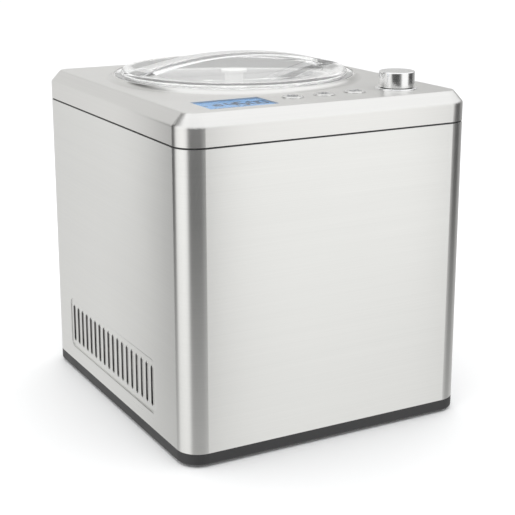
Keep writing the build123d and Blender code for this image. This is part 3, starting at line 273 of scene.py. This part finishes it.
def meshed(name, shape):
    """An object from a finished bmesh, its faces turned outwards."""
    bmesh.ops.recalc_face_normals(shape, faces=shape.faces)
    mesh = bpy.data.meshes.new(name)
    shape.to_mesh(mesh)
    shape.free()
    return link_object(name, mesh)


def plain_mesh(source):
    """What an object's modifiers or curve make, as a plain mesh."""
    return bpy.data.meshes.new_from_object(source.evaluated_get(bpy.context.evaluated_depsgraph_get()))


def skinned(name, sections):
    """A solid through a row of closed sections, each a list of points in metres."""
    shape = bmesh.new()
    rings = [[shape.verts.new(point) for point in section] for section in sections]
    for near, far in zip(rings, rings[1:]):
        for index in range(len(near)):
            after = (index + 1) % len(near)
            shape.faces.new((near[index], near[after], far[after], far[index]))
    shape.faces.new(rings[0])
    shape.faces.new(rings[-1])
    return meshed(name, shape)


def smoothed(mesh, crease=35.0):
    mesh.shade_smooth()
    mesh.set_sharp_from_angle(angle=radians(crease))


def rounded(corners, arc_steps=5):
    """An outline from (x, z, radius) corners, with an arc at each corner that has a radius."""
    outline = []
    count = len(corners)
    for index, (x, z, radius) in enumerate(corners):
        here = Vector((x, z))
        if not radius:
            outline.append(here)
            continue
        before = (Vector(corners[index - 1][:2]) - here).normalized()
        after = (Vector(corners[(index + 1) % count][:2]) - here).normalized()
        half = before.angle(after) / 2
        reach = radius / tan(half)
        middle = here + (before + after).normalized() * radius / sin(half)
        start, end = here + before * reach - middle, here + after * reach - middle
        turn = start.angle_signed(end)
        for step in range(arc_steps + 1):
            outline.append(middle + Matrix.Rotation(-turn * step / arc_steps, 2) @ start)
    return outline


def turned(name, corners, centre, steps):
    """An outline of (radius, height, rounding) corners in millimetres, turned round an upright
    axis. It starts and ends on the axis."""
    outline = rounded(corners)
    shape = bmesh.new()
    rings = []
    for point in outline:
        if point.x < DOUBLES:
            rings.append([shape.verts.new((centre[0], centre[1], point.y * MM))])
            continue
        ring = []
        for step in range(steps):
            turn = 2 * pi * step / steps
            ring.append(shape.verts.new((centre[0] + point.x * MM * cos(turn),
                                         centre[1] + point.x * MM * sin(turn), point.y * MM)))
        rings.append(ring)
    for low, high in zip(rings, rings[1:]):
        for step in range(steps):
            after = (step + 1) % steps
            if len(low) == 1:
                shape.faces.new((low[0], high[step], high[after]))
            elif len(high) == 1:
                shape.faces.new((low[step], high[0], low[after]))
            else:
                shape.faces.new((low[step], high[step], high[after], low[after]))
    bmesh.ops.remove_doubles(shape, verts=shape.verts, dist=DOUBLES)
    return meshed(name, shape)


def united(main, *others):
    """One closed mesh from overlapping ones."""
    for other in others:
        join = main.modifiers.new("join", "BOOLEAN")
        join.operation = "UNION"
        join.solver = "EXACT"
        join.object = other
        mesh = plain_mesh(main)
        main.modifiers.clear()
        main.data = mesh
        bpy.data.objects.remove(other)
    shape = bmesh.new()
    shape.from_mesh(main.data)
    bmesh.ops.remove_doubles(shape, verts=shape.verts, dist=BOOLEAN_DOUBLES)
    bmesh.ops.dissolve_degenerate(shape, dist=BOOLEAN_DOUBLES / 2, edges=shape.edges)
    shape.to_mesh(main.data)
    shape.free()
    return main


class Growth:
    """A Geometry Nodes tree with named inputs, grown into one plain mesh."""

    def __init__(self, name, **inputs):
        self.name = name
        self.tree = bpy.data.node_groups.new(name, "GeometryNodeTree")
        self.values = {}
        face = self.tree.interface
        face.new_socket("Geometry", in_out="INPUT", socket_type="NodeSocketGeometry")
        for label, value in inputs.items():
            kind = "NodeSocketInt" if isinstance(value, int) else "NodeSocketFloat"
            socket = face.new_socket(label, in_out="INPUT", socket_type=kind)
            self.values[socket.identifier] = value
        face.new_socket("Geometry", in_out="OUTPUT", socket_type="NodeSocketGeometry")
        self.given = self.tree.nodes.new("NodeGroupInput").outputs
        self.out = self.tree.nodes.new("NodeGroupOutput").inputs[0]

    def add(self, kind, sockets, **settings):
        """A node's first output. Sockets take either a link or a plain value."""
        node = self.tree.nodes.new(kind)
        for key, value in settings.items():
            setattr(node, key, value)
        for key, value in sockets.items():
            if isinstance(value, bpy.types.NodeSocket):
                self.tree.links.new(value, node.inputs[key])
            else:
                node.inputs[key].default_value = value
        return node.outputs[0]

    def vector(self, **parts):
        return self.add("ShaderNodeCombineXYZ", parts)

    def moved(self, shape, translation=(0, 0, 0), rotation=(0, 0, 0)):
        return self.add("GeometryNodeTransform",
                        {"Geometry": shape, "Translation": translation, "Rotation": rotation})

    def joined(self, *shapes):
        node = self.tree.nodes.new("GeometryNodeJoinGeometry")
        for shape in shapes:
            self.tree.links.new(shape, node.inputs[0])
        return node.outputs[0]

    def wire_loop(self, width, height, rounding, arc_points, wire_radius):
        """A round wire bent into a rounded rectangle in the X-Y plane."""
        loop = self.add("GeometryNodeCurvePrimitiveQuadrilateral", {"Width": width, "Height": height})
        loop = self.add("GeometryNodeFilletCurve", {"Curve": loop, "Radius": rounding,
                                                    "Count": arc_points, "Limit Radius": True}, mode="POLY")
        wire = self.add("GeometryNodeCurvePrimitiveCircle", {"Resolution": 8, "Radius": wire_radius})
        return self.add("GeometryNodeCurveToMesh", {"Curve": loop, "Profile Curve": wire})

    def grow(self, shape, material, start=None):
        real = self.add("GeometryNodeRealizeInstances", {"Geometry": shape})
        painted = self.add("GeometryNodeSetMaterial", {"Geometry": real, "Material": material})
        self.tree.links.new(painted, self.out)
        made = link_object(self.name, start or bpy.data.meshes.new(self.name))
        modifier = made.modifiers.new("growth", "NODES")
        modifier.node_group = self.tree
        for identifier, value in self.values.items():
            modifier[identifier] = value
        mesh = plain_mesh(made)
        made.modifiers.clear()
        made.data = mesh
        smoothed(mesh)
        return made


# ---- clear lid with its arched strap -----------------------------------------------------------
# millimetres
LID_RADIUS = 106.0
LID_TOP = DECK_Z / MM + 8.0
LID_PLATE = 2.2                     # thickness of the lid's top
FLANGE_RADIUS = (LID_HIGH[0] - LID_LOW[0]) / 2 / MM
FLANGE_LOW = DECK_Z / MM + 1.5
FLANGE_HIGH = DECK_Z / MM + 4.0
SKIRT_INSIDE = 92.4
SKIRT_OUTSIDE = 95.0
WINDOW_RADIUS = 84.2                # the window lies a little lower than the ring round it
WINDOW_DROP = 0.7
STRAP_TOP = LID_HIGH[2] / MM
STRAP_HALF_SPAN = 105.0
STRAP_INNER_SPAN = 88.0             # half the opening under the strap
STRAP_HALF_WIDTH = 16.0
STRAP_WALL = 2.4
LUG_BASE = LID_LOW[2] / MM
LUG_TOP = DECK_Z / MM - 4.1
LUG_INSIDE = 94.0
LUG_OUTSIDE = 101.7
LUG_HALF_ANGLE = 12.0
LUG_ANGLES = (90, 210, 330)


def arch_height(x, half_span, foot, crown):
    """Height at x of the circular arc over a span."""
    rise = crown - foot
    radius = (half_span ** 2 + rise ** 2) / (2 * rise)
    return crown - radius + (radius ** 2 - x ** 2) ** 0.5


def lid_body():
    under = LID_TOP - LID_PLATE
    wall = LID_RADIUS - 2.6
    window = LID_TOP - WINDOW_DROP
    corners = [(0, under, 0), (wall, under, 0.9), (wall, FLANGE_HIGH, 0.3),
               (SKIRT_INSIDE, FLANGE_HIGH, 0.5), (SKIRT_INSIDE, LUG_BASE, 0.3),
               (SKIRT_OUTSIDE, LUG_BASE, 0.3), (SKIRT_OUTSIDE, FLANGE_LOW, 0.5),
               (FLANGE_RADIUS, FLANGE_LOW, 0.5), (FLANGE_RADIUS, FLANGE_HIGH, 0.8),
               (LID_RADIUS, FLANGE_HIGH, 0.7), (LID_RADIUS, LID_TOP, 1.9),
               (SKIRT_OUTSIDE, LID_TOP + 0.35, 4.0), (WINDOW_RADIUS, LID_TOP, 0.8),
               (WINDOW_RADIUS - 1.4, window, 0.5), (0, window, 0)]
    return turned("lid", corners, (0, AXIS_Y), 200)


def lid_strap():
    """The arched strap: a flat band with rounded edges, thicker where it grows out of the lid."""
    sections = []
    steps = 96
    width = STRAP_HALF_WIDTH
    for step in range(steps + 1):
        x = STRAP_HALF_SPAN * (2 * step / steps - 1)
        top = arch_height(x, STRAP_HALF_SPAN, LID_TOP - 0.15, STRAP_TOP)
        low = LID_TOP - 1.2
        if abs(x) < STRAP_INNER_SPAN:
            low = max(low, arch_height(x, STRAP_INNER_SPAN, LID_TOP - 0.5, STRAP_TOP - STRAP_WALL))
        soft = min(0.95, (top - low) * 0.4)
        section = rounded([(-width, low, soft), (width, low, soft),
                           (width, top, soft), (-width, top, soft)], 4)
        sections.append([(x * MM, AXIS_Y + point.x * MM, point.y * MM) for point in section])
    return skinned("strap", sections)


def lid_lug(middle):
    """One bayonet lug under the lid, centred on an angle in degrees."""
    corners = ((LUG_INSIDE, LUG_BASE), (LUG_OUTSIDE, LUG_BASE),
               (LUG_OUTSIDE, LUG_TOP), (LUG_INSIDE, LUG_TOP))
    sections = []
    steps = 12
    for step in range(steps + 1):
        turn = radians(middle + LUG_HALF_ANGLE * (2 * step / steps - 1))
        sections.append([(radius * MM * cos(turn), AXIS_Y + radius * MM * sin(turn), height * MM)
                         for radius, height in corners])
    return skinned("lug", sections)


def make_lid():
    lid = united(lid_body(), lid_strap(), *[lid_lug(middle) for middle in LUG_ANGLES])
    lid.name = "clear_lid"
    smoothed(lid.data, 40.0)
    # light passes the clear lid, so that the bowl under it isn't dark
    lid.visible_shadow = False
    lid.visible_diffuse = False
    finished(lid, "lid", "clear_plastic", "lid_shell")


# ---- side vents: rolled rims round the slots and a soft bead round the pressed field -----------
VENT_COUNT = 18
VENT_PITCH = 11.05
VENT_MIDDLE = 7.9         # middle of the row, from front to back
VENT_HEIGHT = 51.6        # middle of the row above the ground
VENT_SLOT = (37.6, 5.1)
VENT_FIELD = (202.6, 48.6)
VENT_FIELD_ROUNDING = 6.3
VENT_DEPTH = 0.75         # the pressed field lies this far inside the casing's face


def make_vent_rims():
    rims = Growth("vent_rims", Count=VENT_COUNT, Pitch=VENT_PITCH * MM, SlotWidth=VENT_SLOT[1] * MM,
                  SlotHeight=VENT_SLOT[0] * MM, RimRadius=0.42 * MM, FieldLength=VENT_FIELD[0] * MM,
                  FieldHeight=VENT_FIELD[1] * MM, FieldRounding=VENT_FIELD_ROUNDING * MM,
                  BeadRadius=0.6 * MM, RowStart=(VENT_MIDDLE - (VENT_COUNT - 1) / 2 * VENT_PITCH) * MM,
                  RowMiddle=VENT_MIDDLE * MM, RowHeight=VENT_HEIGHT * MM,
                  Face=CASING_HIGH[0] - VENT_DEPTH * MM)
    given = rims.given
    upright = (pi / 2, 0, pi / 2)
    half = rims.add("ShaderNodeMath", {0: given["SlotWidth"], 1: 0.499}, operation="MULTIPLY")
    rim = rims.wire_loop(given["SlotWidth"], given["SlotHeight"], half, 7, given["RimRadius"])
    rim = rims.moved(rim, rotation=upright)
    row = rims.add("GeometryNodeMeshLine",
                   {"Count": given["Count"], "Offset": rims.vector(Y=given["Pitch"])}, mode="OFFSET")
    row = rims.add("GeometryNodeInstanceOnPoints", {"Points": row, "Instance": rim})
    row = rims.moved(row, rims.vector(Y=given["RowStart"]))
    bead = rims.wire_loop(given["FieldLength"], given["FieldHeight"], given["FieldRounding"], 8,
                          given["BeadRadius"])
    bead = rims.moved(bead, rims.vector(Y=given["RowMiddle"]), upright)
    side = rims.moved(rims.joined(row, bead), rims.vector(Z=given["RowHeight"]))
    sides = []
    for sign in (-1.0, 1.0):
        out = rims.add("ShaderNodeMath", {0: given["Face"], 1: sign}, operation="MULTIPLY")
        sides.append(rims.moved(side, rims.vector(X=out)))
    made = rims.grow(rims.joined(*sides), FINISHES["brushed_steel"])
    finished(made, "root", "brushed_steel")


# ---- display figures ---------------------------------------------------------------------------
# places of a figure's bars, across and up: top, upper left, upper right, middle, lower left,
# lower right, bottom
BARS = [(0, 1), (-1, 0.5), (1, 0.5), (0, 0), (-1, -0.5), (1, -0.5), (0, -1)]
FIGURES = {"0": (0, 1, 2, 4, 5, 6), "1": (2, 5), "4": (1, 2, 3, 5), "5": (0, 1, 3, 5, 6),
           "8": (0, 1, 2, 3, 4, 5, 6), "-": (3,)}
# figures, place of the first one, height on the panel, step, half width, half height, bar thickness
GROUPS = [("-18", -25.5, 2.0, 6.2, 1.9, 4.2, 1.0), ("45", -2.0, 1.0, 9.4, 3.2, 8.0, 1.6),
          ("00", 18.0, 1.0, 8.2, 2.8, 6.6, 1.0)]
BAR_SHARE = 0.86          # length of a bar over the distance between two corners of a figure
DOTS = [(12.9, -1.4), (12.9, 3.4)]
MARKS = [(-24 + index * 4.2, -13.0) for index in range(6)]
BAR_LIFT = 0.06           # the bars' middle above the lit panel


def make_display_figures():
    """Dark bars of a plain seven-bar display, lying on the lit panel under its clear cover."""
    low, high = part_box("lcd_window")
    panel_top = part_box("lcd_module")[1][2]
    centre = Vector(((low[0] + high[0]) / 2, (low[1] + high[1]) / 2, panel_top + BAR_LIFT * MM))
    points, turns, sizes = [], [], []

    def lay(x, y, length, thickness, upright=False):
        points.append(centre + Vector((x, y, 0)) * MM)
        turns.append((0.0, 0.0, pi / 2 if upright else 0.0))
        sizes.append((length, thickness, 1.0))

    for text, left, up, step, half_width, half_height, thickness in GROUPS:
        for place, figure in enumerate(text):
            for bar in FIGURES[figure]:
                across, rise = BARS[bar]
                length = half_height if across else half_width * 2
                lay(left + place * step + across * half_width, up + rise * half_height,
                    length * BAR_SHARE, thickness, bool(across))
    for x, y in MARKS:
        lay(x, y, 2.6, 1.6)
    for x, y in DOTS:
        lay(x, y, 1.4, 1.6)
    start = bpy.data.meshes.new("figure_points")
    start.from_pydata(points, [], [])
    for label, rows in (("turn", turns), ("size", sizes)):
        stored = start.attributes.new(label, "FLOAT_VECTOR", "POINT")
        stored.data.foreach_set("vector", [value for row in rows for value in row])
    figures = Growth("display_figures", BarLength=1.0 * MM, BarWidth=1.6 * MM, BarDepth=0.1 * MM)
    given = figures.given
    bar = figures.add("GeometryNodeMeshCube", {"Size": figures.vector(
        X=given["BarLength"], Y=given["BarWidth"], Z=given["BarDepth"])})
    turn, scale = [figures.add("GeometryNodeInputNamedAttribute", {"Name": label},
                               data_type="FLOAT_VECTOR") for label in ("turn", "size")]
    laid = figures.add("GeometryNodeInstanceOnPoints", {"Points": given["Geometry"], "Instance": bar,
                                                        "Rotation": turn, "Scale": scale})
    made = figures.grow(laid, FIGURE_INK, start)
    finished(made, "root", "black_frame")


# ---- symbols on the keys -----------------------------------------------------------------------
SYMBOL_LINE = 0.5         # half the width of a symbol's line
SYMBOL_FLATTENING = 0.18  # the print's height over its width


def spoke(radius, angle):
    return (radius * cos(radians(angle)), radius * sin(radians(angle)))


def bar_through(radius, angle):
    return [spoke(radius, angle), spoke(radius, angle + 180)]


CLOCK_RING = [spoke(4.2, 360 * step / 28) for step in range(29)]
KEY_SYMBOLS = {
    "timer": [CLOCK_RING, [(0, 3.0), (0, 0), (2.1, -1.3)]],
    "mode": [bar_through(4.4, angle) for angle in (30, 90, 150)],
    "start": [[(-3.6, -3.6), (-3.6, 3.6), (1.2, 0), (-3.6, -3.6)],
              [(2.6, -3.4), (2.6, 3.4)], [(4.6, -3.4), (4.6, 3.4)]],
}


def make_key_symbol(key):
    """A printed symbol, a plain line drawing, on top of one key."""
    low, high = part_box(f"{key}_button")
    middle = ((low[0] + high[0]) / 2, (low[1] + high[1]) / 2)
    line = bpy.data.curves.new(f"{key}_line", "CURVE")
    line.dimensions = "3D"
    line.bevel_depth = SYMBOL_LINE * MM
    line.bevel_resolution = 2
    line.use_fill_caps = True
    for stroke in KEY_SYMBOLS[key]:
        spline = line.splines.new("POLY")
        spline.points.add(len(stroke) - 1)
        for point, (x, y) in zip(spline.points, stroke):
            point.co = (x * MM, y * MM, 0, 1)
    drawn = link_object("drawn", line)
    mesh = plain_mesh(drawn)
    bpy.data.objects.remove(drawn)
    mesh.transform(Matrix.Translation((*middle, high[2])) @ Matrix.Diagonal((1, 1, SYMBOL_FLATTENING, 1)))
    mesh.materials.clear()
    mesh.materials.append(FIGURE_INK)
    smoothed(mesh)
    made = link_object(f"{key}_symbol", mesh)
    finished(made, f"{key}_key", "black_frame")


FIGURE_INK = grained("dark_print", (0.03, 0.035, 0.05), 0.6, 600.0, 0.004)
make_lid()
make_vent_rims()
make_display_figures()
for key_name in KEY_SYMBOLS:
    make_key_symbol(key_name)

# ---- camera ----------------------------------------------------------------------------------
CAMERA_PLACE = (-0.5449, -1.0205, 0.4630)
CAMERA_YAW = 28.611     # degrees from the front's normal, towards the right
CAMERA_PITCH = 14.602   # degrees below level
CAMERA_LENS = 87.52
CAMERA_SHIFT = -0.07


def add_camera():
    data = bpy.data.cameras.new("camera")
    data.sensor_width = 36.0
    data.lens = CAMERA_LENS
    data.shift_y = CAMERA_SHIFT
    data.clip_start = 0.01
    data.clip_end = 100.0
    camera = link_object("camera", data)
    camera.location = CAMERA_PLACE
    camera.rotation_euler = (radians(90 - CAMERA_PITCH), 0, radians(-CAMERA_YAW))
    bpy.context.scene.camera = camera


# ---- studio: floor, surround and lights ------------------------------------------------------
def add_floor():
    mesh = bpy.data.meshes.new("floor")
    reach = 12.0
    corners = [(-reach, -reach, 0), (reach, -reach, 0), (reach, reach, 0), (-reach, reach, 0)]
    mesh.from_pydata(corners, [], [(0, 1, 2, 3)])
    floor = link_object("floor", mesh)
    finish = Finish("pale_floor", (0.90, 0.90, 0.90), 0.7)
    finish.set("Specular IOR Level", 0.2)
    mesh.materials.append(finish.material)
    floor.visible_glossy = False


# azimuth in degrees from the front, towards the right, and brightness there
SURROUND = [(-180, 0.74), (-152, 0.76), (-143, 0.88), (-138.5, 1.04), (-136.6, 0.98), (-135.6, 0.2),
            (-134, 0.06), (-118, 0.05), (-110, 0.3), (-104, 0.85), (-92, 1.1), (-68, 1.14),
            (-60, 1.06), (-55, 0.85), (-52, 0.45), (-46, 0.10), (-12, 0.09), (-4, 0.16), (4, 0.38),
            (7, 0.74), (9, 1.02), (12, 1.12), (34, 1.12), (40, 1.0), (44, 0.3), (48, 0.10),
            (66, 0.08), (76, 0.3), (90, 0.4), (150, 0.78), (180, 0.74)]
SURROUND_WARMTH = 0.99    # the blue channel's share
SURROUND_RADIUS = 0.55
SURROUND_FOOT = -0.6      # the cards go on below the floor, which reflections don't see
SURROUND_LOW = 0.42       # height of the cards in front of the object
SURROUND_TALL = 1.1       # height of the cards behind it
BEHIND = -0.2             # cosine of the azimuth past which they are tall
FADE_TOP = 0.16           # the cards fade to an even tone between these heights
FADE_FOOT = -0.25
FADE_SHARE = 0.7
FADE_TONE = (0.80, 0.80, 0.79, 1)


def surround_ring():
    ring = bmesh.new()
    steps = 180
    feet, tops = [], []
    for step in range(steps):
        turn = 2 * pi * step / steps
        x, y = SURROUND_RADIUS * sin(turn), -SURROUND_RADIUS * cos(turn)
        feet.append(ring.verts.new((x, y, SURROUND_FOOT)))
        tops.append(ring.verts.new((x, y, SURROUND_TALL if cos(turn) < BEHIND else SURROUND_LOW)))
    for step in range(steps):
        after = (step + 1) % steps
        ring.faces.new((feet[step], feet[after], tops[after], tops[step]))
    mesh = bpy.data.meshes.new("surround")
    ring.to_mesh(mesh)
    ring.free()
    return link_object("surround", mesh)


def card_material():
    """Light of the brightness that SURROUND gives at each azimuth, more even near the floor."""
    material = bpy.data.materials.new("card_ring")
    material.use_nodes = True
    tree = material.node_tree
    tree.nodes.clear()

    def add(kind, links, **settings):
        node = tree.nodes.new(kind)
        for key, value in settings.items():
            setattr(node, key, value)
        for key, value in links.items():
            tree.links.new(value, node.inputs[key])
        return node

    place = add("ShaderNodeTexCoord", {}).outputs["Object"]
    apart = add("ShaderNodeSeparateXYZ", {"Vector": place}).outputs
    flip = add("ShaderNodeMath", {0: apart["Y"]}, operation="MULTIPLY")
    flip.inputs[1].default_value = -1.0
    angle = add("ShaderNodeMath", {0: apart["X"], 1: flip.outputs["Value"]}, operation="ARCTAN2")
    share = add("ShaderNodeMapRange", {"Value": angle.outputs["Value"]})
    share.inputs["From Min"].default_value = -pi
    share.inputs["From Max"].default_value = pi
    ramp = add("ShaderNodeValToRGB", {"Fac": share.outputs["Result"]})
    elements = ramp.color_ramp.elements
    elements.remove(elements[0])
    for index, (azimuth, level) in enumerate(SURROUND):
        position = (azimuth + 180) / 360
        element = elements.new(position) if index else elements[0]
        element.position = position
        element.color = (level, level, level * SURROUND_WARMTH, 1)
    fade = add("ShaderNodeMapRange", {"Value": apart["Z"]})
    fade.inputs["From Min"].default_value = FADE_TOP
    fade.inputs["From Max"].default_value = FADE_FOOT
    fade.inputs["To Max"].default_value = FADE_SHARE
    even = add("ShaderNodeMix", {}, data_type="RGBA")
    even.inputs["B"].default_value = FADE_TONE
    tree.links.new(fade.outputs["Result"], even.inputs["Factor"])
    tree.links.new(ramp.outputs["Color"], even.inputs["A"])
    glow = add("ShaderNodeEmission", {"Color": even.outputs["Result"]})
    add("ShaderNodeOutputMaterial", {"Surface": glow.outputs["Emission"]})
    return material


def add_surround():
    """A ring of pale and dark cards, seen only in reflections."""
    surround = surround_ring()
    surround.data.materials.append(card_material())
    surround.visible_camera = False
    surround.visible_diffuse = False
    surround.visible_transmission = False
    surround.visible_shadow = False
    surround.visible_volume_scatter = False


SKY_COLOUR = (0.99, 0.995, 1.0, 1)
SKY_STRENGTH = 1.16
SOFTBOX_HEIGHT = 1.9
SOFTBOX_SIDE = 2.4
SOFTBOX_WATTS = 14.0


def add_world():
    world = bpy.data.worlds.new("studio")
    world.use_nodes = True
    back = world.node_tree.nodes["Background"]
    back.inputs["Color"].default_value = SKY_COLOUR
    back.inputs["Strength"].default_value = SKY_STRENGTH
    bpy.context.scene.world = world


def add_softbox():
    """A wide square light overhead, which shines straight down."""
    data = bpy.data.lights.new("overhead_softbox", "AREA")
    data.size = SOFTBOX_SIDE
    data.energy = SOFTBOX_WATTS
    light = link_object("overhead_softbox", data)
    light.location.z = SOFTBOX_HEIGHT
    light.visible_glossy = False


add_camera()
add_floor()
add_surround()
add_world()
add_softbox()

bpy.context.scene.view_settings.view_transform = "Standard"
